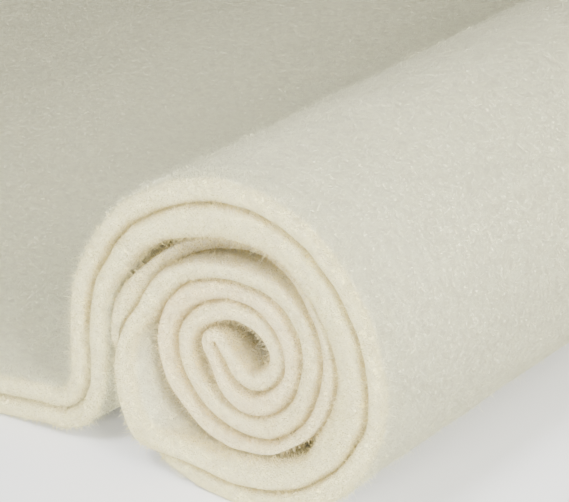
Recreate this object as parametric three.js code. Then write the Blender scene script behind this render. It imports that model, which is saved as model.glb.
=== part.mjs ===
// A sheet of thick wool felt, folded once across its length and rolled up from the fold, with the
// doubled tail left lying flat beside the roll. Millimetres, +Z up. The roll runs along Y, and its
// front end shows the section: two layers, one inside the other, wound about three turns.
// The origin is under the middle of the whole piece, on the surface that it lies on.

import * as THREE from 'three';

// The felt as cut
const WIDTH = 300;
const THICKNESS = 3;

// The air that stays between the two layers, measured along the line where they face each other
const LAYER_GAP = 0.35;
const HALF_STACK = THICKNESS + LAYER_GAP / 2;

// The roll. Angles are in degrees round it, 0 to the right, 90 at the top, 180 at the left. The
// winding starts at the left and runs over the top, so the angle falls all the way to the core.
const PITCH = 6.7;
const ROLL_CENTRE = new THREE.Vector2(6.6, 21.7);
const MEAN_RADIUS = 20.1;
const OVAL = 0.3;
const THREE_SIDED = { amount: 0.2, at: 47 };
const WIND_START = 180;
const WIND_END = -790;
const WIND_STEP = 9;

// Where the outer turn stands off the even spiral: how far, and over how many degrees to each side
const SLACK = [
  { at: 85, spread: 35, lift: 0.4 },
  { at: -15, spread: 45, lift: 0.6 },
  { at: -138, spread: 36, lift: 3.2 },
];

// The straight run in the shoulder of the outer turn, above where it comes off the tail
const SHOULDER = { at: 148, length: 3 };

// The tight bend at the core, and the straight tongue after it that ends in the fold
const CORE_BEND = { radius: 3.75, heading: 125, turns: 3, steps: 10 };
const TONGUE_LENGTH = 3.9;
const FOLD_STEPS = 10;

// The bend where the tail turns up into the roll, and how high it stands off the surface
const BEND = { radius: 7.2, lift: 1.4, steps: 10 };
const BEND_RUN_OUT = { length: 12, steps: 4 };

// The tail, which lies flat
const TAIL_END = -165;
const TAIL_STEPS = 14;

// The inner turns stand further back than the outer one, and lie a little lower and to the left
const SAG = { back: 2.4, left: 1.5, down: 1.1, insideRadius: 9, outsideRadius: 20 };

const STEPS_ALONG = 4;

const radians = THREE.MathUtils.degToRad;
const unit = (degrees) => new THREE.Vector2(Math.cos(radians(degrees)), Math.sin(radians(degrees)));

// Distance from the roll's centre to the line that touches the winding at this angle round it. A
// fixed fall for each turn keeps every turn the same distance outside the next one.
function support(angle) {
  const even = MEAN_RADIUS + PITCH * angle / 360;
  const oval = OVAL * Math.cos(radians(2 * angle));
  const sides = THREE_SIDED.amount * Math.cos(radians(3 * (angle - THREE_SIDED.at)));
  const slack = SLACK.map(({ at, spread, lift }) => lift * Math.exp(-(((angle - at) / spread) ** 2)));
  return slack.reduce((sum, each) => sum + each, even + oval + sides);
}

// The point of the winding at this angle, worked out from the touching line and how fast it moves
function windingPoint(angle) {
  const small = 0.01;
  const slope = (support(angle + small) - support(angle - small)) / radians(2 * small);
  const point = ROLL_CENTRE.clone()
    .addScaledVector(unit(angle), support(angle))
    .addScaledVector(unit(angle + 90), slope);
  if (angle > SHOULDER.at) {
    point.addScaledVector(unit(SHOULDER.at - 90), -SHOULDER.length);
  }
  return point;
}

function arcPoints(centre, radius, from, to, steps) {
  return Array.from({ length: steps + 1 }, (_, i) => {
    const angle = THREE.MathUtils.lerp(from, to, i / steps);
    return centre.clone().addScaledVector(unit(angle), radius);
  });
}

// The line between the two layers, from the tail's end to the fold in the core
function middleLine() {
  const winding = [];
  for (let angle = WIND_START; angle >= WIND_END; angle -= WIND_STEP) {
    winding.push(windingPoint(angle));
  }

  const coreCentre = winding.at(-1).clone().addScaledVector(unit(WIND_END), -CORE_BEND.radius);
  const coreEnd = CORE_BEND.heading + 90 - CORE_BEND.turns * 360;
  const core = arcPoints(coreCentre, CORE_BEND.radius, WIND_END, coreEnd, CORE_BEND.steps);
  const tip = core.at(-1).clone().addScaledVector(unit(CORE_BEND.heading), TONGUE_LENGTH);

  const bendCentre = new THREE.Vector2(winding[0].x - BEND.radius, HALF_STACK + BEND.lift + BEND.radius);
  const bend = arcPoints(bendCentre, BEND.radius, -90, 0, BEND.steps);

  const flatEnd = bendCentre.x - BEND_RUN_OUT.length;
  const tail = Array.from({ length: TAIL_STEPS }, (_, i) =>
    new THREE.Vector2(THREE.MathUtils.lerp(TAIL_END, flatEnd, i / TAIL_STEPS), HALF_STACK));
  const runOut = Array.from({ length: BEND_RUN_OUT.steps }, (_, i) => {
    const part = i / BEND_RUN_OUT.steps;
    const rise = THREE.MathUtils.smoothstep(part, 0, 1) * BEND.lift;
    return new THREE.Vector2(flatEnd + part * BEND_RUN_OUT.length, HALF_STACK + rise);
  });
  return [...tail, ...runOut, ...bend, ...winding, ...core.slice(1), tip];
}

// The line moved sideways by a distance, to its left where that is positive, mitred at each point.
// The surface below keeps it from going lower than the ground, which makes the roll's flat spot.
function beside(line, distance) {
  return line.map((point, i) => {
    const before = point.clone().sub(line[Math.max(i - 1, 0)]).normalize();
    const after = line[Math.min(i + 1, line.length - 1)].clone().sub(point).normalize();
    const along = before.add(after).normalize();
    const turn = i > 0 && i < line.length - 1 ? after.dot(along) : 1;
    const left = new THREE.Vector2(-along.y, along.x);
    const moved = point.clone().addScaledVector(left, distance / turn);
    moved.y = Math.max(moved.y, 0);
    return moved;
  });
}

// The two layers as one closed outline: out along the outer layer, round the fold, back along the
// inner layer, and up and down the narrow gap between them
function feltOutline() {
  const line = middleLine();
  const tip = line.at(-1);
  const side = CORE_BEND.heading + 90;
  const fold = arcPoints(tip, HALF_STACK, side, side - 180, FOLD_STEPS).slice(1, -1);
  return [
    ...beside(line, HALF_STACK),
    ...fold,
    ...beside(line, -HALF_STACK).reverse(),
    ...beside(line, -LAYER_GAP / 2),
    ...beside(line, LAYER_GAP / 2).reverse(),
  ];
}

// The share of the sag that a place takes for its distance from the roll's centre: all in the core
function sagShare(x, z) {
  const radius = Math.hypot(x - ROLL_CENTRE.x, z - ROLL_CENTRE.y);
  return 1 - THREE.MathUtils.smoothstep(radius, SAG.insideRadius, SAG.outsideRadius);
}

function feltGeometry() {
  const shape = new THREE.Shape(feltOutline());
  const geometry = new THREE.ExtrudeGeometry(shape, {
    depth: WIDTH,
    steps: STEPS_ALONG,
    bevelEnabled: false,
  });
  // The extrusion runs along its own Z, so the section is stood up and the run becomes Y
  geometry.rotateX(Math.PI / 2);
  geometry.translate(0, WIDTH, 0);
  const place = geometry.getAttribute('position');
  for (let i = 0; i < place.count; i += 1) {
    const x = place.getX(i);
    const z = place.getZ(i);
    const share = sagShare(x, z);
    place.setXYZ(i, x - SAG.left * share, place.getY(i) + SAG.back * share, z - SAG.down * share);
  }
  geometry.computeBoundingBox();
  const box = geometry.boundingBox;
  geometry.translate(-(box.min.x + box.max.x) / 2, -(box.min.y + box.max.y) / 2, -box.min.z);
  geometry.computeVertexNormals();
  return geometry;
}

const felt = new THREE.MeshStandardMaterial({ color: 0xdedbcc, roughness: 0.95, metalness: 0 });

const sheet = new THREE.Mesh(feltGeometry(), felt);
sheet.name = 'felt_sheet';

const group = new THREE.Group();
group.add(sheet);

export default group;
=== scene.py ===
"""A sheet of wool felt, folded double and rolled up: its nap, cut edges and finish, on a studio floor."""

import math

import bpy
import numpy as np
from bpy.props import FloatProperty, FloatVectorProperty, IntProperty, PointerProperty
from mathutils import Euler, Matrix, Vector


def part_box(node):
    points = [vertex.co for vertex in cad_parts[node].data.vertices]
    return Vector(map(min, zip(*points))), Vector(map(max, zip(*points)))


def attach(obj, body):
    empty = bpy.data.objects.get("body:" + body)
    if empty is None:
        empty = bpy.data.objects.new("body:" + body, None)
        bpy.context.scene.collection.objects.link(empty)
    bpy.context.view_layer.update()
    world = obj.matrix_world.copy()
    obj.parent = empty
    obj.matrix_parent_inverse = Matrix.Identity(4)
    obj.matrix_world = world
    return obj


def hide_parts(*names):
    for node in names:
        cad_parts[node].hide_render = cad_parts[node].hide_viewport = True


bl_info = {
    "name": "Rolled wool felt",
    "version": (1, 0, 0),
    "blender": (4, 5, 0),
    "location": "3D View > Sidebar > Felt",
    "description": "A folded and rolled sheet of thick wool felt with its nap and cut edges",
    "category": "Add Mesh",
}

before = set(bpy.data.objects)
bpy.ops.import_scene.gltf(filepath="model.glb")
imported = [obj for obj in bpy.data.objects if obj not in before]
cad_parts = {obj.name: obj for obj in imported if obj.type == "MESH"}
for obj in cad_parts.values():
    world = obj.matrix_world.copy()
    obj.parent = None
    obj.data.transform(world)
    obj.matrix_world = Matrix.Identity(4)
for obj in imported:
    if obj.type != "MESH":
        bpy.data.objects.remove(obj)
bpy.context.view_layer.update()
SHEET_NODE = "felt_sheet"
BODY = "root"
MM = 0.001

# The felt as cut and as it is wound, in millimetres and degrees, as the part's source has them.
# Angles run round the roll, 0 to the right, 90 at the top, and fall from the tail to the core.
WIDTH = 300.0
THICKNESS = 3.0
LAYER_GAP = 0.35
HALF_STACK = THICKNESS + LAYER_GAP / 2
PITCH = 6.7
ROLL_CENTRE = np.array([6.6, 21.7])
MEAN_RADIUS = 20.1
OVAL = 0.3
THREE_SIDED = {"amount": 0.2, "at": 47.0}
WIND_START = 180.0
WIND_END = -790.0
SLACK = (
    {"at": 85.0, "spread": 35.0, "lift": 0.4},
    {"at": -15.0, "spread": 45.0, "lift": 0.6},
    {"at": -138.0, "spread": 36.0, "lift": 3.2},
)
SHOULDER = {"at": 148.0, "length": 3.0}
CORE_BEND = {"radius": 3.75, "heading": 125.0, "turns": 3}
BEND = {"radius": 7.2, "lift": 1.4}
RUN_OUT = 12.0
TAIL_END = -165.0
SAG = {"back": 2.4, "left": 1.5, "down": 1.1, "inside": 9.0, "outside": 20.0}

# The fold in the core is pinched, so its slit runs further than the even section has it
TONGUE_LENGTH = 4.7
PINCH = {"by": 0.8, "over": 4.0}

# The low wave that lies across the tail
WAVE = {"from": -145.0, "to": -48.0, "height": 2.0}

# Near the cut ends the felt swells or is squeezed: for a layer, 0 the outer and 1 the inner one, where
# round the roll, over how many degrees to each side, and how far its left face moves outwards. The
# outer turn's inner layer takes the room that the outer layer one turn further in gives up.
SWELL = (
    {"layer": 1, "at": 88.0, "spread": 42.0, "by": 1.1},
    {"layer": 1, "at": 25.0, "spread": 42.0, "by": 1.7},
    {"layer": 1, "at": -30.0, "spread": 26.0, "by": 0.7},
    {"layer": 1, "at": -54.0, "spread": 18.0, "by": -1.4},
    {"layer": 1, "at": -66.0, "spread": 44.0, "by": 1.7},
    {"layer": 1, "at": -140.0, "spread": 30.0, "by": 1.0},
    {"layer": 0, "at": -190.0, "spread": 26.0, "by": 0.9},
    {"layer": 0, "at": -217.0, "spread": 21.0, "by": -0.9},
    {"layer": 0, "at": -255.0, "spread": 45.0, "by": -0.9},
    {"layer": 0, "at": -335.0, "spread": 42.0, "by": -1.2},
    {"layer": 0, "at": -426.0, "spread": 44.0, "by": -1.6},
)
SWELL_FADE = {"from": 3.0, "to": 16.0}

# Where the whole section is pushed over near the cut ends: the place in the section, how far round it
# the push reaches, and the push in x and z
NUDGES = (
    {"at": (2.0, 36.5), "reach": 9.0, "by": (0.3, -0.9)},
    {"at": (9.7, 21.4), "reach": 3.8, "by": (1.25, -0.2)},
)

# How much each face in the roll moves towards the one that it lies against, near the cut ends
CLOSER = 0.09

# How far the soft cut ends reach past the felt's even width
END_REACH = 1.0

# Where a layer's cut end stands forward (positive) or back: 0 is the outer layer, 1 the inner one
END_OFFSETS = (
    {"layer": 1, "at": -135.0, "spread": 38.0, "forward": 1.4},
    {"layer": 0, "at": -258.0, "spread": 46.0, "forward": -3.6},
)

# At the lower left of the front end the inner layer is turned out over the outer one, which is pressed
# thin beside it and stands back in the middle. Each starts and stops over these angles round the roll.
# Then come how far out the inner layer turns, how deep from the end it does so, the share of this by
# which the outer layer gives way, and how far back the outer layer stands
FLARE = {"start": (-102.0, -132.0), "stop": (-172.0, -204.0), "out": 3.0, "reach": 6.0, "pressed": 0.93}
HELD_BACK = {"start": (-116.0, -128.0), "stop": (-167.0, -181.0), "by": 6.5}

# The part stands in the frame with its tail's end at the box's low X and its front end at low Y
NODE_LOW = np.array(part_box(SHEET_NODE)[0])
SHIFT = NODE_LOW - np.array([TAIL_END * MM, 0.0, 0.0])

# Soft unevenness is a sum of lumps: the size of each, how far it moves the felt, and what it adds to
# the seed. The cut ends waver along the felt, the turns shift in x (axis 0) and z (axis 2), and the
# surface is lumpy.
END_WAVER = ({"size": 15.0, "by": 0.35, "seed": 0}, {"size": 4.5, "by": 0.2, "seed": 1})
TURN_WAVER = (
    {"size": 9.0, "by": 0.30, "seed": 0},
    {"size": 3.6, "by": 0.13, "seed": 10},
    {"size": 1.7, "by": 0.07, "seed": 20},
)
LUMPS = ({"size": 3.4, "by": 0.13, "seed": 0}, {"size": 1.5, "by": 0.09, "seed": 1})
FRONT_SEED = 11
BACK_SEED = 23
LUMP_SEED = 31
TURN_SEEDS = ((0, 41), (2, 42))

# The line through the lumps, by its other two coordinates, that the wavering ends are read from
WAVER_LINE = (7.3, 1.9)

# Where in x and z the turns' unevenness starts and is full, and how much longer it is along the roll
TURN_RANGE = {"x": (-40.0, -10.0), "z": (1.0, 9.0)}
TURN_LENGTHENED = 4.0

# Where a face lies against another one, lumps lose this share, over this part of the profile's height
LUMPS_HELD = 0.8
ON_FACE = (0.8, 1.0)

# How an end's moves fade along the roll: this power of the share of the width that is left
END_POWER = 12

# Where, in degrees wound on from the right, the left face of each layer comes to lie inside the roll
ENCLOSED_FROM = {"outer": (178.0, 196.0), "inner": (-165.0, -140.0)}


# Small tools


def unit(degrees):
    """Unit vectors at these angles in the section's plane, one row for each."""
    angle = np.radians(degrees)
    return np.stack([np.cos(angle), np.sin(angle)], axis=-1)


def smooth(value, low, high):
    """0 below low, 1 above high, and the cubic 3p^2 - 2p^3 of the part p between them."""
    part = np.clip((value - low) / (high - low), 0.0, 1.0)
    return part * part * (3.0 - 2.0 * part)


def bump_at(value, centre, spread):
    """A bell of height 1 at the centre: exp of minus the squared distance in spreads."""
    return np.exp(-(((value - centre) / spread) ** 2))


def value_noise(points, size, seed):
    """Soft lumps between -1 and 1: random values on a grid of this size, eased between grid points."""
    rng = np.random.default_rng(seed)
    cells = 64
    lattice = rng.uniform(-1.0, 1.0, (cells, cells, cells))
    place = points / size
    low = np.floor(place).astype(int)
    part = place - low
    part = part * part * (3.0 - 2.0 * part)
    total = np.zeros(points.shape[:-1])
    for corner in np.ndindex(2, 2, 2):
        step = np.array(corner)
        weight = np.prod(np.where(step == 1, part, 1.0 - part), axis=-1)
        index = (low + step) % cells
        total += weight * lattice[index[..., 0], index[..., 1], index[..., 2]]
    return total


def unevenness(points, lumps, seed):
    """The sum of soft lumps of several sizes, each by its own amount and from its own seed."""
    return sum(row["by"] * value_noise(points, row["size"], seed + row["seed"]) for row in lumps)


def to_frame(points):
    """Section millimetres (x, y, z) to the frame's metres."""
    return points * MM + SHIFT


# The section

# Points on the exact line: degrees between them in the winding, and how many there are elsewhere
WIND_STEP = 1.0
BEND_POINTS = 60
TAIL_POINTS = 160
TONGUE_POINTS = 10
FOLD_POINTS = 24

# Stations along the felt, in millimetres, and columns across it, closer together near the front end
TAIL_SPARSE_BELOW = -34.0
STATION_TAIL = 2.4
STATION_ROLL = 0.72
FACE_COLUMNS = 38
FACE_GRADING = 1.8

# The rounded cut edge: its columns, its depth, how square it is, and where on its curve the first and
# the last column lie, in degrees
EDGE_COLUMNS = 7
EDGE_DEPTH = 1.5
EDGE_SQUARENESS = 2.15
EDGE_ANGLES = (9.0, 84.0)

# The two far edges of the sheet are cut off this far in, so that the strip that shuts each has a height
FAR_EDGE = 0.15


def support(angle):
    """Distance from the roll's centre to the line that touches the winding at this angle.

    A mean radius that falls by one pitch a turn, two small waves round the roll, and a bell for
    each place where the outer turn stands off.
    """
    distance = MEAN_RADIUS + PITCH * angle / 360.0
    distance = distance + OVAL * np.cos(np.radians(2.0 * angle))
    distance = distance + THREE_SIDED["amount"] * np.cos(np.radians(3.0 * (angle - THREE_SIDED["at"])))
    for row in SLACK:
        distance = distance + row["lift"] * bump_at(angle, row["at"], row["spread"])
    return distance


def winding(angle):
    """Points where the touching lines meet the winding: the distance out, plus its slope sideways."""
    small = 0.01
    slope = (support(angle + small) - support(angle - small)) / np.radians(2.0 * small)
    points = ROLL_CENTRE + support(angle)[:, None] * unit(angle) + slope[:, None] * unit(angle + 90.0)
    before = (angle > SHOULDER["at"])[:, None]
    return points - before * SHOULDER["length"] * unit(SHOULDER["at"] - 90.0)


def arc(centre, radius, start, end, count):
    """Points on a circle between two angles, both ends included."""
    return np.asarray(centre) + radius * unit(np.linspace(start, end, count))


def middle_line():
    """The line between the two layers from the tail's end to the fold, and its angle round the roll."""
    turn = np.arange(WIND_START, WIND_END - WIND_STEP / 2, -WIND_STEP)
    wound = winding(turn)
    core_centre = wound[-1] - CORE_BEND["radius"] * unit(WIND_END)
    core_end = CORE_BEND["heading"] + 90.0 - CORE_BEND["turns"] * 360.0
    core = arc(core_centre, CORE_BEND["radius"], WIND_END, core_end, BEND_POINTS)[1:]
    part = np.linspace(1.0 / TONGUE_POINTS, 1.0, TONGUE_POINTS)[:, None]
    tongue = core[-1] + part * TONGUE_LENGTH * unit(CORE_BEND["heading"])
    bend_centre = np.array([wound[0, 0] - BEND["radius"], HALF_STACK + BEND["lift"] + BEND["radius"]])
    bend = arc(bend_centre, BEND["radius"], -90.0, 0.0, BEND_POINTS)
    flat_end = bend_centre[0] - RUN_OUT
    tail_x = np.linspace(TAIL_END, bend_centre[0], TAIL_POINTS)[:-1]
    tail = np.stack([tail_x, HALF_STACK + BEND["lift"] * smooth(tail_x, flat_end, bend_centre[0])], axis=1)
    line = np.vstack([tail, bend, wound, core, tongue])
    angles = np.concatenate(
        [
            np.full(len(tail) + len(bend), WIND_START),
            turn,
            np.linspace(WIND_END, core_end, BEND_POINTS)[1:],
            np.full(len(tongue), core_end),
        ]
    )
    return line, angles


def left_normals(line):
    """Unit normals to the left of the way along the line."""
    along = np.gradient(line, axis=0)
    along /= np.linalg.norm(along, axis=1)[:, None]
    return np.stack([-along[:, 1], along[:, 0]], axis=1)


def felt_line():
    """The middle of the felt's own thickness, as if unfolded.

    It runs out along the outer layer, round the fold and back along the inner layer. Returns points,
    angles round the roll, 0 for the outer layer rising to 1 for the inner one, and half the thickness,
    which is less near the fold: a bell of the distance from it.
    """
    line, angles = middle_line()
    normal = left_normals(line)
    step = np.linalg.norm(np.diff(line, axis=0), axis=1)
    to_fold = np.concatenate([np.cumsum(step[::-1])[::-1], [0.0]])
    half = (THICKNESS - PINCH["by"] * bump_at(to_fold, 0.0, PINCH["over"])) / 2
    reach = half + LAYER_GAP / 2
    side = CORE_BEND["heading"] + 90.0
    fold = arc(line[-1], reach[-1], side, side - 180.0, FOLD_POINTS)[1:-1]
    outer = line + reach[:, None] * normal
    inner = line - reach[:, None] * normal
    points = np.vstack([outer, fold, inner[::-1]])
    angle = np.concatenate([angles, np.full(len(fold), angles[-1]), angles[::-1]])
    layer = np.concatenate([np.zeros(len(line)), np.linspace(0, 1, len(fold)), np.ones(len(line))])
    halves = np.concatenate([half, np.full(len(fold), half[-1]), half[::-1]])
    return points, angle, layer, halves


def resample(points, angle, layer, halves):
    """Stations along the felt: close together in the roll, further apart in the tail."""
    step = np.linalg.norm(np.diff(points, axis=0), axis=1)
    run = np.concatenate([[0.0], np.cumsum(step)])
    middle = (points[1:, 0] + points[:-1, 0]) / 2
    pace = np.where(middle < TAIL_SPARSE_BELOW, STATION_TAIL, STATION_ROLL)
    count = np.concatenate([[0.0], np.cumsum(step / pace)])
    wanted = np.linspace(0.0, count[-1], int(round(count[-1])) + 1)
    place = np.interp(wanted, count, run)
    table = np.column_stack([points, angle, layer, halves])
    columns = [np.interp(place, run, column) for column in table.T]
    return np.stack(columns[:2], axis=1), columns[2], columns[3], columns[4], place


def half_profile():
    """One side of the felt's cross-cut, from the middle of the front edge to that of the back one.

    Returns the place along the roll as a fraction plus an inset in millimetres, and the height over
    the middle of the thickness as a fraction of half of it. The edges follow a superellipse.
    """
    turn = np.radians(np.linspace(*EDGE_ANGLES, EDGE_COLUMNS))
    power = 2.0 / EDGE_SQUARENESS
    height = np.sin(turn) ** power
    inset = EDGE_DEPTH * (1.0 - np.cos(turn) ** power)
    face = (np.arange(FACE_COLUMNS) / (FACE_COLUMNS - 1)) ** FACE_GRADING
    fraction = np.concatenate([np.zeros(EDGE_COLUMNS), face, np.ones(EDGE_COLUMNS)])
    face_inset = EDGE_DEPTH * (1.0 - 2.0 * face)
    offset = np.concatenate([inset, face_inset, -inset[::-1]])
    rise = np.concatenate([height, np.ones(FACE_COLUMNS), height[::-1]])
    return fraction, offset, rise


def nudged(x, z, fade):
    """The section's places pushed over near the cut ends: a bell of the distance from each push."""
    for row in NUDGES:
        apart = np.hypot(x - row["at"][0], z - row["at"][1])
        share = fade * bump_at(apart, 0.0, row["reach"])
        x, z = x + row["by"][0] * share, z + row["by"][1] * share
    return x, z


def sag_share(x, z):
    """How much of the sag a place takes: all of it at the core, nothing at the outer turn."""
    radius = np.hypot(x - ROLL_CENTRE[0], z - ROLL_CENTRE[1])
    return 1.0 - smooth(radius, SAG["inside"], SAG["outside"])


def wave_lift(x):
    """The low wave across the tail: the square of a half sine between its two feet."""
    part = np.clip((x - WAVE["from"]) / (WAVE["to"] - WAVE["from"]), 0.0, 1.0)
    return WAVE["height"] * np.sin(np.pi * part) ** 2


def end_forward(angle, layer, run, seed):
    """How far forward the felt's cut end stands, in millimetres: a soft waver plus a bell a place."""
    place = np.stack([run, *(np.full_like(run, value) for value in WAVER_LINE)], axis=-1)
    waver = unevenness(place, END_WAVER, seed)
    return END_REACH + waver + sum(row["forward"] * row_share(row, angle, layer) for row in END_OFFSETS)


def row_share(row, angle, layer):
    """How much of a row's change a station takes: a bell round the roll, for one layer."""
    in_layer = layer if row["layer"] else 1.0 - layer
    return in_layer * bump_at(angle, row["at"], row["spread"])


def share_between(angle, row):
    """1 between the angles where a row's change has started and stops, eased to 0 at both."""
    start, stop = (1.0 - smooth(angle, low, high) for high, low in (row["start"], row["stop"]))
    return start * (1.0 - stop)


def swell(angle, layer):
    """How far each station's left face moves outwards of the felt, in millimetres."""
    return sum(row["by"] * row_share(row, angle, layer) for row in SWELL)


def wobble(points):
    """The section's unevenness: the whole of it shifted a little, smoothly from place to place.

    Both layers take the same shift where they meet, so they stay apart. It fades out in the tail.
    """
    x, y, z = np.moveaxis(points, -1, 0)
    place = np.stack([x, y / TURN_LENGTHENED, z], axis=-1)
    share = smooth(x, *TURN_RANGE["x"]) * smooth(z, *TURN_RANGE["z"])
    moved = points.copy()
    for axis, seed in TURN_SEEDS:
        moved[..., axis] += share * unevenness(place, TURN_WAVER, seed)
    return moved


def face_heights(flat, rise, halves, run, angle, layer):
    """How far each place stands off the middle of the felt's thickness, along the left normal.

    The profile's height times half the thickness, rounded off at the sheet's far edges, plus the
    swelling near the cut ends, less the turned-out inner layer, which the outer one gives way to.
    Returns the heights and the share of the changes near the ends that each column takes.
    """
    ends = np.minimum(run, run[-1] - run)
    taper = np.sqrt(1.0 - (1.0 - np.clip((ends + FAR_EDGE) / EDGE_DEPTH, 0.0, 1.0)) ** 2)
    height = rise[None, :] * (halves * taper)[:, None]
    near_end = np.minimum(flat, WIDTH - flat)
    fade = 1.0 - smooth(near_end, SWELL_FADE["from"], SWELL_FADE["to"])
    moves = swell(angle, layer) + CLOSER * enclosed(angle, layer)
    height = height + moves[:, None] * (fade * np.clip(rise, 0.0, 1.0))[None, :]
    height = height + CLOSER * (fade * np.clip(rise, -1.0, 0.0))[None, :]
    turned = FLARE["out"] * share_between(angle, FLARE)[:, None] * (1.0 - smooth(flat, 0.0, FLARE["reach"]))
    height = height - turned * layer[:, None]
    height = height + turned * FLARE["pressed"] * (1.0 - layer)[:, None] * np.clip(-rise, 0.0, 1.0)
    return height, fade


def outward(normal, rise, fraction):
    """Unit directions out of the felt: the normal by the profile's height, and endwise by the rest."""
    edge = (1.0 - np.abs(rise)) * np.where(fraction > 0.5, 1.0, -1.0)
    x, z = (normal[:, axis, None] * rise[None, :] for axis in (0, 1))
    out = np.stack([x, np.broadcast_to(edge[None, :], x.shape), z], axis=-1)
    return out / np.linalg.norm(out, axis=-1)[..., None]


def felt_grid():
    """The whole sheet as a closed grid: stations along it, columns round its cross-cut.

    Each place is the station's middle point plus its height times the left normal, with the place
    along the roll from the profile, then the sag, the pushes near the ends, the wobble, soft lumps
    outwards and the tail's wave. Returns the points, the outward directions, the heights as parts of
    half the thickness, the fractions of the width, and each station's angle, layer and run.
    """
    points, angle, layer, halves, run = resample(*felt_line())
    normal = left_normals(points)
    fraction, offset, rise = half_profile()
    fraction = np.concatenate([fraction, fraction[::-1]])
    rise = np.concatenate([rise, -rise[::-1]])
    flat = WIDTH * fraction + np.concatenate([offset, offset[::-1]])
    height, fade = face_heights(flat, rise, halves, run, angle, layer)
    section = points[:, None, :] + height[..., None] * normal[:, None, :]

    share = sag_share(section[..., 0], section[..., 1])
    along = flat[None, :] + SAG["back"] * share
    front = end_forward(angle, layer, run, FRONT_SEED)
    front = front - HELD_BACK["by"] * (1.0 - layer) * share_between(angle, HELD_BACK)
    along = along - front[:, None] * (1.0 - fraction)[None, :] ** END_POWER
    along = along + end_forward(angle, layer, run, BACK_SEED)[:, None] * fraction[None, :] ** END_POWER
    x, z = section[..., 0] - SAG["left"] * share, section[..., 1] - SAG["down"] * share
    x, z = nudged(x, z, fade[None, :])
    grid = wobble(np.stack([x, along, z], axis=-1))

    out = outward(normal, rise, fraction)
    free = 1.0 - LUMPS_HELD * enclosed(angle, layer)[:, None] * smooth(rise, *ON_FACE)[None, :]
    free = free * (1.0 - LUMPS_HELD * smooth(-rise, *ON_FACE))[None, :]
    grid = grid + (unevenness(grid, LUMPS, LUMP_SEED) * free)[..., None] * out
    grid[..., 2] = grid[..., 2] + wave_lift(grid[..., 0])
    grid[..., 2] = np.maximum(grid[..., 2], 0.0)
    return grid, out, rise, fraction, angle, layer, run


def enclosed(angle, layer):
    """1 where a station's left face lies against another turn, 0 where it is open to the air."""
    outer = smooth(-angle, *ENCLOSED_FROM["outer"])
    inner = smooth(-angle, *ENCLOSED_FROM["inner"])
    return outer * (1.0 - layer) + inner * layer


def closed_grid_mesh(name, grid, attributes):
    """A mesh from a grid that closes round its columns, with both ends shut by a strip of quads.

    Column i faces column last minus i across the thickness, so each end strip joins those pairs.
    """
    rows, columns = grid.shape[:2]
    index = np.arange(rows * columns).reshape(rows, columns)
    follow = np.roll(index, -1, axis=1)
    walls = np.stack([index[:-1], index[1:], follow[1:], follow[:-1]], axis=-1).reshape(-1, 4)
    low = np.arange(columns // 2 - 1)
    facing = columns - 1 - low
    first = np.stack([index[0, low], index[0, low + 1], index[0, facing - 1], index[0, facing]], axis=-1)
    last = np.stack([index[-1, low], index[-1, facing], index[-1, facing - 1], index[-1, low + 1]], axis=-1)
    faces = np.vstack([walls, first, last])
    return new_mesh(name, to_frame(grid.reshape(-1, 3)), faces, attributes)


def new_mesh(name, points, faces, attributes):
    """A smooth mesh from whole arrays of points and of equal-sided faces, with values for its points."""
    mesh = bpy.data.meshes.new(name)
    sides = faces.shape[1]
    mesh.vertices.add(len(points))
    mesh.vertices.foreach_set("co", np.ascontiguousarray(points, dtype=np.float32).ravel())
    mesh.loops.add(faces.size)
    mesh.loops.foreach_set("vertex_index", faces.ravel().astype(np.int32))
    mesh.polygons.add(len(faces))
    mesh.polygons.foreach_set("loop_start", np.arange(0, faces.size, sides, dtype=np.int32))
    mesh.polygons.foreach_set("use_smooth", np.ones(len(faces), dtype=bool))
    mesh.update(calc_edges=True)
    mesh.validate()
    for label, values in attributes.items():
        layer = mesh.attributes.new(label, "FLOAT", "POINT")
        layer.data.foreach_set("value", np.ascontiguousarray(values, dtype=np.float32).ravel())
    return mesh


def add_piece(name, mesh, material):
    """An object at the origin with this mesh and material, linked into the scene."""
    mesh.materials.append(material)
    piece = bpy.data.objects.new(name, mesh)
    bpy.context.scene.collection.objects.link(piece)
    return piece


# Fibres

# Rings of three points along a bent hair: the part of its length and of its radius. A straight one has
# only the first. Then the least and the most that a bent hair curls, in parts of its length
HAIR_RINGS = ((0.0, 1.0), (0.45, 0.75))
RING_ANGLES = (0.0, 120.0, 240.0)
CURL = (0.2, 0.9)


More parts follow.
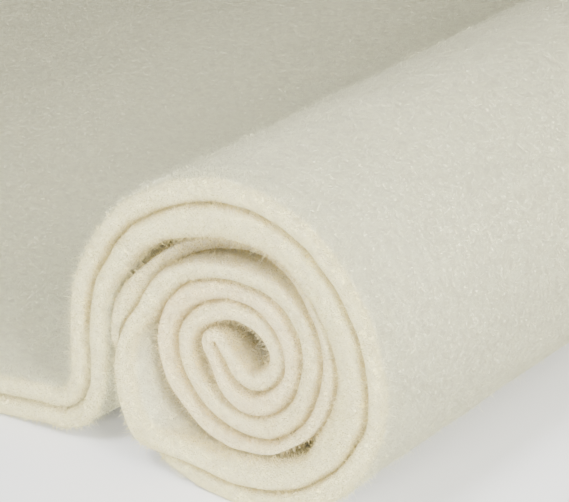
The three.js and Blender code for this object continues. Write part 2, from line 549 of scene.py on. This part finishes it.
def hair_mesh(name, roots, heads, lengths, radii, bent, tints, rng):
    """Many closed hairs as one mesh: each a three-sided spike, straight or with one bend.

    The middle line of a hair is its root plus length times (t head + t^2 bend), its radius falls
    to nothing at the tip, and a triangle shuts its root. Its points all take the tints of its root, and
    what would reach under the surface that the felt lies on is mirrored up over it.
    """
    count = len(roots)
    side = np.cross(heads, rng.normal(0.0, 1.0, (count, 3)))
    side /= np.linalg.norm(side, axis=1)[:, None]
    other = np.cross(heads, side)
    curl = rng.uniform(*CURL, count) if bent else np.zeros(count)
    angles = np.radians(RING_ANGLES)[None, :, None]
    ring = np.cos(angles) * side[:, None, :] + np.sin(angles) * other[:, None, :]
    parts = []
    for t, width in HAIR_RINGS if bent else HAIR_RINGS[:1]:
        centre = roots + lengths[:, None] * (t * heads + (t * t * curl)[:, None] * side)
        parts.append(centre[:, None, :] + (radii * width)[:, None, None] * ring)
    tip = roots + lengths[:, None] * (heads + curl[:, None] * side)
    points = np.concatenate([*parts, tip[:, None, :]], axis=1)
    points[..., 2] = np.abs(points[..., 2])
    one = [[0, 2, 1]]
    last = 3 * len(parts) - 3
    for low in range(0, last, 3):
        one += [[low + i, low + (i + 1) % 3, low + 3 + (i + 1) % 3] for i in range(3)]
        one += [[low + i, low + 3 + (i + 1) % 3, low + 3 + i] for i in range(3)]
    one += [[last + i, last + (i + 1) % 3, last + 3] for i in range(3)]
    size = 3 * len(parts) + 1
    faces = (np.array(one)[None] + size * np.arange(count)[:, None, None]).reshape(-1, 3)
    # Each hair takes its root's tints, the painted shade of the crevices and walls among them
    attributes = {label: np.repeat(values, size) for label, values in tints.items()}
    return new_mesh(name, to_frame(points.reshape(-1, 3)), faces, attributes)


def scatter(grid, out, weight, count, rng):
    """Random places on the grid: cells drawn by weight times area, then a place inside each.

    Returns the places, the outward directions there, and the cells' rows and columns.
    """
    rows, columns = grid.shape[:2]
    down = grid[1:, :] - grid[:-1, :]
    across = np.roll(grid, -1, axis=1) - grid
    area = np.linalg.norm(np.cross(down, across[:-1]), axis=-1)
    chance = area * weight[:-1]
    chance = chance.ravel() / chance.sum()
    cell = rng.choice(chance.size, size=count, p=chance)
    row, column = np.unravel_index(cell, area.shape)
    beside = (column + 1) % columns
    u, v = rng.uniform(size=(2, count, 1))
    place = (1 - u) * ((1 - v) * grid[row, column] + v * grid[row, beside])
    place = place + u * ((1 - v) * grid[row + 1, column] + v * grid[row + 1, beside])
    head = (1 - u) * out[row, column] + u * out[row + 1, beside]
    return place, head / np.linalg.norm(head, axis=1)[:, None], (row, column)


# Materials

# How the outputs of the nap group and of the fibres' noise are stretched: the two values between which
# each is read, and what they become
PATCHES = (0.38, 0.64, 0.0, 1.0)
CLOTS = (0.36, 0.58, 0.75, 0.0)
FIBRE_LINES = (0.0, 1.0, 0.0, 0.35)
CLOT_ROUGHNESS = (0.3, 0.7, 1.0, 0.86)
FIBRE_TONES = (0.35, 0.65, 0.0, 1.0)

# A fibre line is drawn where the noise is this close to its middle, and raises the nap by this share
NOISE_MIDDLE = 0.5
LINE_WIDTH = 0.09
LINE_HEIGHT = 0.35

# The mesh's attributes that tint the wool, and the colour setting for each; the tints of the crevices and
# the walls are painted shade
TINTS = {"cut_edge": "cut", "roll_depth": "deep", "crevice": "crevice", "wall": "wall"}

# The shaders' finish, by the names of their inputs, with lengths in metres
FELT_BUMP = {"Strength": 0.9, "Distance": 0.0009}
FELT_FINISH = {
    "Specular IOR Level": 0.12,
    "Sheen Weight": 0.7,
    "Sheen Roughness": 0.6,
    "Sheen Tint": (1.0, 0.97, 0.76, 1.0),
    "Subsurface Weight": 0.12,
    "Subsurface Radius": (1.0, 0.85, 0.6),
    "Subsurface Scale": 0.0012,
}
FIBRE_FINISH = {"Roughness": 0.9, "Specular IOR Level": 0.15, "Sheen Weight": 0.2}
FLOOR_FINISH = {"Base Color": (0.93, 0.93, 0.93, 1.0), "Roughness": 0.9}


def set_inputs(node, values):
    """Sets some of a node's inputs by their names."""
    for name, value in values.items():
        node.inputs[name].default_value = value


def noise_node(nodes, links, place, values):
    """A noise texture read at this place, with some of its inputs set by name."""
    node = nodes.new("ShaderNodeTexNoise")
    set_inputs(node, values)
    links.new(place, node.inputs["Vector"])
    return node


def felt_nap_group():
    """Node group for the nap: soft mottling, felted clots and fine fibre lines from Object places."""
    group = bpy.data.node_groups.new("felt_nap", "ShaderNodeTree")
    socket = group.interface.new_socket
    socket("Vector", in_out="INPUT", socket_type="NodeSocketVector")
    for label, default in (("Clot Scale", 850.0), ("Fibre Scale", 1500.0)):
        socket(label, in_out="INPUT", socket_type="NodeSocketFloat").default_value = default
    for label in ("Broad", "Clots", "Fibres", "Height"):
        socket(label, in_out="OUTPUT", socket_type="NodeSocketFloat")
    nodes, links = group.nodes, group.links
    enter = nodes.new("NodeGroupInput")
    leave = nodes.new("NodeGroupOutput")

    place = enter.outputs["Vector"]
    broad = noise_node(nodes, links, place, {"Scale": 60.0, "Detail": 4.0, "Roughness": 0.6})
    links.new(broad.outputs["Fac"], leave.inputs["Broad"])

    clots = noise_node(nodes, links, place, {"Detail": 5.0, "Roughness": 0.62, "Distortion": 0.4})
    links.new(enter.outputs["Clot Scale"], clots.inputs["Scale"])
    links.new(clots.outputs["Fac"], leave.inputs["Clots"])

    fibres = noise_node(nodes, links, place, {"Detail": 2.0, "Distortion": 2.2})
    links.new(enter.outputs["Fibre Scale"], fibres.inputs["Scale"])
    middle = math_node(nodes, "SUBTRACT", NOISE_MIDDLE)
    links.new(fibres.outputs["Fac"], middle.inputs[0])
    ridge = math_node(nodes, "ABSOLUTE")
    links.new(middle.outputs[0], ridge.inputs[0])
    lines = ranged(nodes, links, ridge.outputs[0], 0.0, LINE_WIDTH, 1.0, 0.0)
    links.new(lines, leave.inputs["Fibres"])

    soft = math_node(nodes, "MULTIPLY", LINE_HEIGHT)
    links.new(lines, soft.inputs[0])
    height = math_node(nodes, "ADD")
    links.new(clots.outputs["Fac"], height.inputs[0])
    links.new(soft.outputs[0], height.inputs[1])
    links.new(height.outputs[0], leave.inputs["Height"])
    return group


def math_node(nodes, operation, value=None):
    """A Math node with its second input set, if one is given."""
    node = nodes.new("ShaderNodeMath")
    node.operation = operation
    if value is not None:
        node.inputs[1].default_value = value
    return node


def mix_colour(nodes, links, fac, first, second, blend="MIX"):
    """A colour Mix node; each of fac, first and second is a socket or a plain value."""
    node = nodes.new("ShaderNodeMix")
    node.data_type = "RGBA"
    node.blend_type = blend
    for name, given in (("Factor", fac), ("A", first), ("B", second)):
        target = next(s for s in node.inputs if s.name == name and s.enabled)
        if hasattr(given, "links"):
            links.new(given, target)
        else:
            target.default_value = given
    return next(s for s in node.outputs if s.enabled)


def ranged(nodes, links, source, low, high, to_low, to_high):
    """A Map Range node on a socket, clamped, with its result returned."""
    node = nodes.new("ShaderNodeMapRange")
    set_inputs(node, {"From Min": low, "From Max": high, "To Min": to_low, "To Max": to_high})
    links.new(source, node.inputs["Value"])
    return node.outputs["Result"]


def tinted(nodes, links, colour, colours):
    """The colour multiplied by each of the place's tints, in the measure of the mesh's attributes; those of
    the crevices and walls are painted shade.
    """
    for attribute, setting in TINTS.items():
        place = nodes.new("ShaderNodeAttribute")
        place.attribute_name = attribute
        tint = tuple(getattr(colours, setting))
        colour = mix_colour(nodes, links, place.outputs["Fac"], colour, tint, "MULTIPLY")
    return colour


def felt_material(name, group, colours):
    """Undyed wool felt: cream mottled with warmer and greyer wool.

    Attributes tint it: creamier on the cut ends, warmer deep in the roll, tan painted shade in the crevices
    and darker painted shade on the walls between the turns.
    """
    material = bpy.data.materials.new(name)
    material.use_nodes = True
    nodes, links = material.node_tree.nodes, material.node_tree.links
    shader = nodes["Principled BSDF"]
    coordinates = nodes.new("ShaderNodeTexCoord")
    nap = nodes.new("ShaderNodeGroup")
    nap.node_tree = group
    links.new(coordinates.outputs["Object"], nap.inputs["Vector"])

    patches = ranged(nodes, links, nap.outputs["Broad"], *PATCHES)
    colour = mix_colour(nodes, links, patches, tuple(colours.pale), tuple(colours.shade))
    clots = ranged(nodes, links, nap.outputs["Clots"], *CLOTS)
    colour = mix_colour(nodes, links, clots, colour, tuple(colours.hollow))
    lines = ranged(nodes, links, nap.outputs["Fibres"], *FIBRE_LINES)
    colour = mix_colour(nodes, links, lines, colour, tuple(colours.fibre))
    colour = tinted(nodes, links, colour, colours)
    links.new(colour, shader.inputs["Base Color"])
    rough = ranged(nodes, links, nap.outputs["Clots"], *CLOT_ROUGHNESS)
    links.new(rough, shader.inputs["Roughness"])
    bump = nodes.new("ShaderNodeBump")
    set_inputs(bump, FELT_BUMP)
    links.new(nap.outputs["Height"], bump.inputs["Height"])
    links.new(bump.outputs["Normal"], shader.inputs["Normal"])
    set_inputs(shader, FELT_FINISH)
    return material


def fibre_material(colours):
    """Single wool fibres: pale, varied a little from place to place and tinted as the felt there, painted
    shade of the crevices and walls included.
    """
    material = bpy.data.materials.new("wool_fibre")
    material.use_nodes = True
    nodes, links = material.node_tree.nodes, material.node_tree.links
    shader = nodes["Principled BSDF"]
    coordinates = nodes.new("ShaderNodeTexCoord")
    noise = noise_node(nodes, links, coordinates.outputs["Object"], {"Scale": 400.0})
    fac = ranged(nodes, links, noise.outputs["Fac"], *FIBRE_TONES)
    colour = mix_colour(nodes, links, fac, tuple(colours.fibre), tuple(colours.pale))
    colour = tinted(nodes, links, colour, colours)
    links.new(colour, shader.inputs["Base Color"])
    set_inputs(shader, FIBRE_FINISH)
    return material


# Settings that a user would change


class FeltColours(bpy.types.PropertyGroup):
    """Wool colours, as linear values."""

    pale: FloatVectorProperty(
        name="Pale wool", description="Main colour of the felt", subtype="COLOR", size=4,
        default=(0.88, 0.855, 0.51, 1.0), min=0.0, max=1.0,
    )
    shade: FloatVectorProperty(
        name="Shaded wool", description="Broad cooler patches", subtype="COLOR", size=4,
        default=(0.81, 0.80, 0.48, 1.0), min=0.0, max=1.0,
    )
    hollow: FloatVectorProperty(
        name="Hollows", description="Warmer wool between the clots", subtype="COLOR", size=4,
        default=(0.62, 0.57, 0.32, 1.0), min=0.0, max=1.0,
    )
    fibre: FloatVectorProperty(
        name="Fibres", description="Single fibres that catch the light", subtype="COLOR", size=4,
        default=(0.91, 0.885, 0.60, 1.0), min=0.0, max=1.0,
    )
    cut: FloatVectorProperty(
        name="Cut edges", description="Tint of the cut ends", subtype="COLOR", size=4,
        default=(1.0, 0.94, 0.72, 1.0), min=0.0, max=1.0,
    )
    deep: FloatVectorProperty(
        name="Inner turns", description="Tint of the wool deep in the roll", subtype="COLOR", size=4,
        default=(1.0, 0.92, 0.93, 1.0), min=0.0, max=1.0,
    )
    # Painted shade: a tan darkening of the wool where two layers meet, standing in for the shade in the
    # seams
    crevice: FloatVectorProperty(
        name="Crevices", description="Tint of the wool where two layers meet", subtype="COLOR", size=4,
        default=(0.72, 0.60, 0.34, 1.0), min=0.0, max=1.0,
    )
    # Painted shade: a dark tint of the wool deep between the turns, standing in for the shade that falls
    # there
    wall: FloatVectorProperty(
        name="Walls", description="Tint of the wool deep between the turns", subtype="COLOR", size=4,
        default=(0.38, 0.34, 0.30, 1.0), min=0.0, max=1.0,
    )


class FuzzSettings(bpy.types.PropertyGroup):
    """Loose fibres that stand out of the felt, in millimetres."""

    nap_count: IntProperty(
        name="Nap fibres", description="Short fibres in each nap piece", default=49500, min=100, max=49900,
    )
    hair_count: IntProperty(
        name="Loose hairs", description="Longer bent fibres in each fuzz piece", default=19000, min=100,
        max=19900,
    )
    radius: FloatProperty(
        name="Fibre radius", description="Mean radius at the root", default=0.022, min=0.005, max=0.1,
    )
    nap_length: FloatProperty(
        name="Nap length", description="Mean length of the short fibres", default=0.55, min=0.1, max=3.0,
    )
    hair_length: FloatProperty(
        name="Hair length", description="Mean length of the bent fibres", default=1.0, min=0.2, max=5.0,
    )


class StudioSettings(bpy.types.PropertyGroup):
    """Camera and light."""

    azimuth: FloatProperty(
        name="Azimuth", description="Camera's turn round the roll, in degrees", default=36.5,
    )
    elevation: FloatProperty(
        name="Elevation", description="Camera's height over the floor, in degrees", default=24.0,
    )
    scale: FloatProperty(
        name="Picture scale", description="Picture points for each millimetre at the roll's foot",
        default=7.35,
    )
    focal_points: FloatProperty(
        name="Focal length", description="Focal length in picture points", default=2600.0,
    )


def settings():
    """This scene's three groups of settings."""
    scene = bpy.context.scene
    return scene.felt_colours, scene.felt_fuzz, scene.felt_studio


# Pieces

# Where the outer layer's end stands back under the outer turn, painted shade darkens its cut end and the
# inner layer's face over it: the place and the spread of this painted shade
RECESS = (-262.0, 46.0)

# Over what each tint rises or fades; those of the crevices, the overhang and the walls are painted shade.
# Across the thickness 0 is its middle and 1 a face, the walls' numbers are millimetres from the nearer end,
# and the depth's are degrees wound on from the right.
CUT_FADES = (0.9, 1.0)
CREVICE_SHADE_RISES = (0.52, 0.98)
OVERHANG_SHADE_RISES = (0.4, 0.95)
WALL_SHADE_RISES = (0.3, 3.5)
DEPTH_RISES = (60.0, 560.0)

# The inner layer takes this much less of the depth's tint, and the seam in the tail and the walls at the
# recess only this share of their painted shade
INNER_PALER = 0.4
TAIL_SEAM = 0.5
RECESS_SHADE_SHARE = 0.5

# Angles over this one are the tail's. The turned-out end is lit over this share of its reach
TAIL_OVER = 179.9
LIT_SHARE = 0.6


def from_end(fraction):
    """Distance of each column from the nearer cut end, in millimetres, one row of them."""
    front = WIDTH * fraction[None, :]
    return np.minimum(front, WIDTH - front)


def edge_attributes(rise, fraction, angle, layer):
    """The tints at each place of the grid.

    The cut end is where the height is less than the full half thickness. The painted shade of the crevices
    rises from there to the faces that lie inside the roll, and darker painted shade of the walls lies
    deeper between them. The recessed outer layer's end and the inner layer over it take painted shade as
    well. Where the inner layer is turned out and bare, neither is drawn. The depth rises from the outer
    turn in.
    """
    across = np.abs(rise)[None, :]
    front = WIDTH * fraction[None, :]
    out_of_roll = 1.0 - smooth(front, 0.0, LIT_SHARE * FLARE["reach"])
    lit = (layer * share_between(angle, FLARE))[:, None] * out_of_roll
    bare = (layer * share_between(angle, HELD_BACK))[:, None] * (front < FLARE["reach"])
    left = (enclosed(angle, layer)[:, None] - lit) * (rise > 0.0) + (1.0 - bare) * (rise <= 0.0)
    inside = left * np.where(angle > TAIL_OVER, TAIL_SEAM, 1.0)[:, None]
    cut = np.broadcast_to(1.0 - smooth(across, *CUT_FADES), left.shape)
    depth = smooth(-angle, *DEPTH_RISES) * (1.0 - INNER_PALER * layer)
    # Painted shade on the recessed outer layer's cut end, and on the inner layer's face that overhangs it
    recess = bump_at(angle, *RECESS)
    under = ((1.0 - layer) * recess)[:, None] * (cut > 0.0)
    over = (layer * recess)[:, None] * smooth(-rise, *OVERHANG_SHADE_RISES)[None, :]
    # Painted shade in the seams between layers, on the recessed cut end and under the overhanging layer
    crevice = np.maximum.reduce([smooth(across, *CREVICE_SHADE_RISES) * inside, under, over])
    # Darker painted shade on the faces deeper between the turns and at the recess
    behind_end = smooth(from_end(fraction), *WALL_SHADE_RISES) * inside
    wall = np.maximum(behind_end, RECESS_SHADE_SHARE * np.maximum(under, over))
    return {
        "cut_edge": cut,
        "roll_depth": np.broadcast_to(depth[:, None], left.shape),
        "crevice": crevice,
        "wall": wall,
    }


class FELT_OT_sheet(bpy.types.Operator):
    """Add the folded and rolled sheet of felt"""

    bl_idname = "felt.sheet"
    bl_label = "Felt sheet"

    def execute(self, context):
        colours, _, _ = settings()
        grid, _, rise, fraction, angle, layer, run = felt_grid()
        mesh = closed_grid_mesh("felt_sheet_nap", grid, edge_attributes(rise, fraction, angle, layer))
        piece = add_piece("rolled_felt", mesh, felt_material("wool_felt", felt_nap_group(), colours))
        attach(piece, BODY)
        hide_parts(SHEET_NODE)
        context.scene["felt_length"] = float(run[-1]) * MM
        return {"FINISHED"}


# The fuzz pieces: where each grows, whether its hairs are bent, its share of the full count, how far
# the hairs lean, in parts of their length, and its random seed
FUZZ_PIECES = (
    {"name": "nap_front_end", "region": "front", "bent": False, "share": 1.0, "lean": 0.7, "seed": 101},
    {"name": "nap_faces", "region": "faces", "bent": False, "share": 1.0, "lean": 1.2, "seed": 102},
    {"name": "fuzz_front_end", "region": "front", "bent": True, "share": 1.0, "lean": 1.0, "seed": 103},
    {"name": "fuzz_faces", "region": "faces", "bent": True, "share": 0.5, "lean": 1.4, "seed": 104},
    {"name": "fuzz_back_end", "region": "back", "bent": True, "share": 0.4, "lean": 1.0, "seed": 105},
)

# Places of the profile past this height are on a face. On the ends' pieces, fibres also stand on a rim
# of the faces, this wide and this thickly. On the faces they thin out from the front end over this
# distance to this share, and there are none on the tail past this place.
FACE_HEIGHT = 0.999
RIM = {"width": 2.5, "share": 0.5}
NEAR_FRONT = 45.0
FAR_SHARE = 0.15
BARE_TAIL_BELOW = -150.0

# A hair's lean has this spread in each direction before its piece's own lean, lengths follow a gamma
# law of this shape, radii lie between these parts of their mean, and roots this many radii up
LEAN_SPREAD = 0.6
LENGTH_SHAPE = 4.0
RADIUS_PARTS = (0.7, 1.3)
ROOT_CLEAR = 2.0


def region_weight(region, grid, rise, fraction, angle, layer):
    """How thickly loose fibres stand in each place of the grid for a named region.

    The two ends take the cut edge and a narrow rim beside it. The faces take what the air reaches:
    the outer turn and the tail's top, thickest near the front end.
    """
    on_rim = RIM["share"] * (from_end(fraction) < RIM["width"])
    rim = np.where(np.abs(rise)[None, :] < FACE_HEIGHT, 1.0, on_rim)
    if region == "front":
        return np.broadcast_to(rim * (fraction < 0.5)[None, :], grid.shape[:2])
    if region == "back":
        return np.broadcast_to(rim * (fraction > 0.5)[None, :], grid.shape[:2])
    open_rows = (1.0 - enclosed(angle, layer)) * (layer < 0.5) * (grid[:, 0, 0] > BARE_TAIL_BELOW)
    thick = FAR_SHARE + np.exp(-WIDTH * fraction[None, :] / NEAR_FRONT)
    return open_rows[:, None] * (rise > FACE_HEIGHT)[None, :] * thick


def grown_piece(row, fuzz, grid, out, weight, tints, material):
    """One piece of fuzz: hairs with their roots scattered over the felt by weight.

    A hair's head is the outward direction plus the piece's lean times a random one, its length and
    radius vary about their means, and it points up where its root is lower than it is long.
    """
    rng = np.random.default_rng(row["seed"])
    bent = row["bent"]
    count = int((fuzz.hair_count if bent else fuzz.nap_count) * row["share"])
    roots, heads, cells = scatter(grid, out, weight, count, rng)
    heads = heads + row["lean"] * rng.normal(0.0, LEAN_SPREAD, heads.shape)
    heads /= np.linalg.norm(heads, axis=1)[:, None]
    mean = fuzz.hair_length if bent else fuzz.nap_length
    lengths = mean * rng.gamma(LENGTH_SHAPE, 1.0 / LENGTH_SHAPE, count)
    radii = fuzz.radius * rng.uniform(*RADIUS_PARTS, count)
    roots[:, 2] = np.maximum(roots[:, 2], ROOT_CLEAR * fuzz.radius)
    heads[:, 2] = np.where(roots[:, 2] < lengths, np.abs(heads[:, 2]), heads[:, 2])
    root_tints = {label: values[cells] for label, values in tints.items()}
    mesh = hair_mesh(row["name"], roots, heads, lengths, radii, bent, root_tints, rng)
    return add_piece(row["name"], mesh, material)


class FELT_OT_fuzz(bpy.types.Operator):
    """Add the nap and the loose fibres on the cut ends, the roll and the tail"""

    bl_idname = "felt.fuzz"
    bl_label = "Nap and fibres"

    def execute(self, context):
        colours, fuzz, _ = settings()
        grid, out, rise, fraction, angle, layer, _ = felt_grid()
        # The felt's tints for the hairs' roots, the painted shade of its crevices and walls among them
        tints = edge_attributes(rise, fraction, angle, layer)
        material = fibre_material(colours)
        for row in FUZZ_PIECES:
            weight = region_weight(row["region"], grid, rise, fraction, angle, layer)
            piece = grown_piece(row, fuzz, grid, out, weight, tints, material)
            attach(piece, BODY)
        return {"FINISHED"}


class FELT_OT_studio(bpy.types.Operator):
    """Add the floor, the lights and the camera"""

    bl_idname = "felt.studio"
    bl_label = "Studio"

    def execute(self, context):
        _, _, studio = settings()
        add_floor()
        add_lights(context)
        add_camera(context, studio)
        return {"FINISHED"}


# How far the floor reaches to each side, and how far it lies under the felt, in metres
FLOOR_REACH = 3.0
FLOOR_DROP = 0.0001


def add_floor():
    """A wide pale floor just under the felt."""
    square = np.array([[-1.0, -1.0, 0.0], [1.0, -1.0, 0.0], [1.0, 1.0, 0.0], [-1.0, 1.0, 0.0]])
    corners = FLOOR_REACH * square - np.array([0.0, 0.0, FLOOR_DROP])
    mesh = new_mesh("floor", corners, np.array([[0, 1, 2, 3]]), {})
    material = bpy.data.materials.new("floor_paint")
    material.use_nodes = True
    shader = material.node_tree.nodes["Principled BSDF"]
    set_inputs(shader, FLOOR_FINISH)
    floor = add_piece("floor", mesh, material)


# The place in the section, in millimetres, that the lights aim at. Each light: where it stands from
# there and its size, in metres, how wide its beam is, in degrees, and its power, in watts
AIM = np.array([10.0, 0.0, 32.0])
LIGHTS = (
    {"name": "front", "at": (0.19, -0.71, 0.16), "size": 0.3, "beam": 180.0, "power": 12.0},
    {"name": "side", "at": (0.59, -0.27, 0.37), "size": 0.3, "beam": 180.0, "power": 7.7},
    {"name": "near", "at": (0.0, -0.26, 0.31), "size": 0.15, "beam": 30.0, "power": 0.1},
)
WORLD_LIGHT = {"Color": (1.0, 1.0, 1.0, 1.0), "Strength": 0.58}


def add_lights(context):
    """Soft panels aimed at the roll's front end, and an even pale sky."""
    aim = Vector(to_frame(AIM))
    for row in LIGHTS:
        light = bpy.data.lights.new(row["name"], "AREA")
        light.shape = "DISK"
        light.size = row["size"]
        light.energy = row["power"]
        light.spread = math.radians(row["beam"])
        lamp = bpy.data.objects.new(row["name"], light)
        lamp.location = aim + Vector(row["at"])
        lamp.rotation_euler = (aim - lamp.location).to_track_quat("-Z", "Y").to_euler()
        context.scene.collection.objects.link(lamp)
    world = bpy.data.worlds.new("sky")
    world.use_nodes = True
    set_inputs(world.node_tree.nodes["Background"], WORLD_LIGHT)
    context.scene.world = world


# The photograph's frame, the point in it where the roll's front end touches the floor, and the camera's
# sensor in millimetres
FRAME_SIZE = (569, 502)
FOOT_POINT = (200.0, 488.0)
SENSOR_WIDTH = 36.0


def add_camera(context, studio):
    """The photograph's view: its angles, its lens, and the roll's foot at its place in the frame."""
    camera = bpy.data.cameras.new("camera")
    camera.sensor_width = SENSOR_WIDTH
    camera.lens = studio.focal_points / FRAME_SIZE[0] * SENSOR_WIDTH
    camera.clip_start = 0.01
    camera.clip_end = 20.0
    turn = Euler((math.radians(90.0 - studio.elevation), 0.0, math.radians(studio.azimuth)))
    right, up, back = turn.to_matrix().transposed()
    distance = studio.focal_points / studio.scale * MM
    foot = Vector(to_frame(np.zeros(3)))
    across = (FOOT_POINT[0] - FRAME_SIZE[0] / 2) / studio.focal_points * distance
    above = (FRAME_SIZE[1] / 2 - FOOT_POINT[1]) / studio.focal_points * distance
    eye = bpy.data.objects.new("camera", camera)
    eye.location = foot + back * distance - right * across - up * above
    eye.rotation_euler = turn
    context.scene.collection.objects.link(eye)
    context.scene.camera = eye


class FELT_PT_panel(bpy.types.Panel):
    """The felt's operators and settings"""

    bl_idname = "FELT_PT_panel"
    bl_label = "Rolled felt"
    bl_space_type = "VIEW_3D"
    bl_region_type = "UI"
    bl_category = "Felt"

    def draw(self, context):
        layout = self.layout
        for operator in OPERATORS:
            layout.operator(operator.bl_idname)
        for group in settings():
            box = layout.box()
            for name in group.__annotations__:
                box.prop(group, name)


OPERATORS = (FELT_OT_sheet, FELT_OT_fuzz, FELT_OT_studio)
GROUPS = {"felt_colours": FeltColours, "felt_fuzz": FuzzSettings, "felt_studio": StudioSettings}


def register():
    """Registers the classes and hangs the settings on the scene."""
    for kind in (*GROUPS.values(), *OPERATORS, FELT_PT_panel):
        bpy.utils.register_class(kind)
    for name, group in GROUPS.items():
        setattr(bpy.types.Scene, name, PointerProperty(type=group))


def unregister():
    """Takes the settings and the classes away again."""
    for name in GROUPS:
        delattr(bpy.types.Scene, name)
    for kind in reversed((*GROUPS.values(), *OPERATORS, FELT_PT_panel)):
        bpy.utils.unregister_class(kind)


def main():
    """Makes every piece in order."""
    register()
    bpy.ops.felt.sheet()
    bpy.ops.felt.fuzz()
    bpy.ops.felt.studio()


if __name__ == "__main__":
    main()
